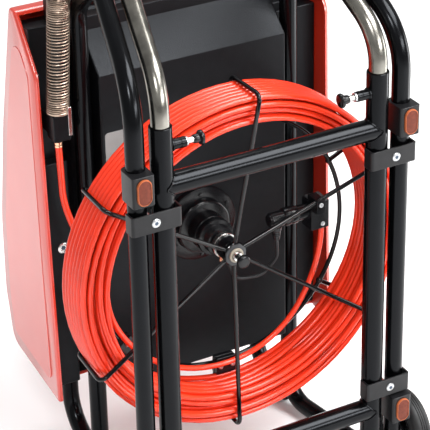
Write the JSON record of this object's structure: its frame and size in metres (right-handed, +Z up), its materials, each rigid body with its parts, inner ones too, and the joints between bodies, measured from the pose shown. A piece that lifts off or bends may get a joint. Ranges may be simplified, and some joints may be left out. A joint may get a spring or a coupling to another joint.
{
  "type": "drain inspection cable reel cart",
  "caption": "Upright tube cart with a wire-cage reel of coiled push cable, spring camera probe, shell case behind, sliding pull handle, index plungers and small wheels.",
  "frame": {"origin": "centre of the bounding box on the floor plane", "axes": "+Z up, -Y the reel side, +X to the right when looking at the reel"},
  "size_m": [0.508, 0.42, 0.8345],
  "materials": {
    "black_coat": "semi-gloss powder coat",
    "shell_red": "glossy moulded shell",
    "case_black": "fine texture",
    "label_pale": "blank plate",
    "zinc": "zinc plated",
    "pad_brown": "matte",
    "knob_black": "satin",
    "wheel_grey": "matte",
    "tyre_black": "matte ribbed",
    "rubber_black": "matte",
    "chrome": "polished",
    "brass": "machined",
    "cable_orange": "smooth sheath",
    "steel": "bare",
    "lead_grey": "matte"
  },
  "bodies": {
    "frame": {"axle": "zinc", "cable_ferrule": "brass", "cable_lead": "cable_orange", "camera_head": "steel", "camera_holder": "case_black", "camera_spring": "steel", "case_label": "label_pale", "case_mount_left": "black_coat", "case_mount_right": "black_coat", "clamp_screw_lower_left": "zinc", "clamp_screw_lower_right": "zinc", "clamp_screw_upper_left": "zinc", "clamp_screw_upper_right": "zinc", "clip_block": "case_black", "crossbar_lower": "black_coat", "crossbar_upper": "black_coat", "hub_flange": "knob_black", "inner_case": "case_black", "pad_block_lower_left": "case_black", "pad_block_lower_right": "case_black", "pad_block_upper_left": "case_black", "pad_block_upper_right": "case_black", "pad_face_lower_left": "pad_brown", "pad_face_lower_right": "pad_brown", "pad_face_upper_left": "pad_brown", "pad_face_upper_right": "pad_brown", "plunger_barrel_left": "black_coat", "plunger_barrel_right": "black_coat", "rear_foot_left": "rubber_black", "rear_foot_right": "rubber_black", "rear_skid_left": "black_coat", "rear_skid_right": "black_coat", "receiver_left": "black_coat", "receiver_right": "black_coat", "red_shell": "shell_red", "reel_shaft": "steel", "side_loop_left": "black_coat", "side_loop_right": "black_coat", "strap_clamp_lower_left": "black_coat", "strap_clamp_lower_right": "black_coat", "strap_clamp_upper_left": "black_coat", "strap_clamp_upper_right": "black_coat"},
    "reel": {"reel_cage": "black_coat", "cable_coil": "cable_orange", "cable_tail": "cable_orange", "cable_clamp_a": "knob_black", "cable_clamp_b": "knob_black", "connector_body": "knob_black", "connector_gland": "knob_black", "signal_lead": "lead_grey", "hub_sleeve": "knob_black"},
    "handle": {"handle": "chrome", "handle_grip": "rubber_black"},
    "plunger_left": {"plunger_left": "knob_black"},
    "plunger_right": {"plunger_right": "knob_black"},
    "wheel_left": {"wheel_hub_left": "wheel_grey", "wheel_tyre_left": "tyre_black"},
    "wheel_right": {"wheel_hub_right": "wheel_grey", "wheel_tyre_right": "tyre_black"},
    "release_knob": {"release_knob": "knob_black"}
  },
  "joints": [
    {"name": "reel_spin", "type": "hinge", "parent": "frame", "child": "reel", "pos_m": [0, -0.07396, 0.372], "axis": [0, 1, 0], "continuous": true},
    {"name": "handle_slide", "type": "slide", "parent": "frame", "child": "handle", "axis": [0, 0, 1], "range_m": [0, 0.28]},
    {"name": "plunger_left_slide", "type": "slide", "parent": "frame", "child": "plunger_left", "axis": [1, 0, 0], "range_m": [-0.004, 0.004]},
    {"name": "plunger_right_slide", "type": "slide", "parent": "frame", "child": "plunger_right", "axis": [-1, 0, 0], "range_m": [-0.004, 0.004]},
    {"name": "wheel_left_spin", "type": "hinge", "parent": "frame", "child": "wheel_left", "pos_m": [-0.2345, -0.15396, 0.056], "axis": [1, 0, 0], "continuous": true},
    {"name": "wheel_right_spin", "type": "hinge", "parent": "frame", "child": "wheel_right", "pos_m": [0.2345, -0.15396, 0.056], "axis": [1, 0, 0], "continuous": true},
    {"name": "release_knob_pull", "type": "slide", "parent": "frame", "child": "release_knob", "axis": [0, -1, 0], "range_m": [0, 0.006], "stiffness_N_per_m": 400}
  ]
}
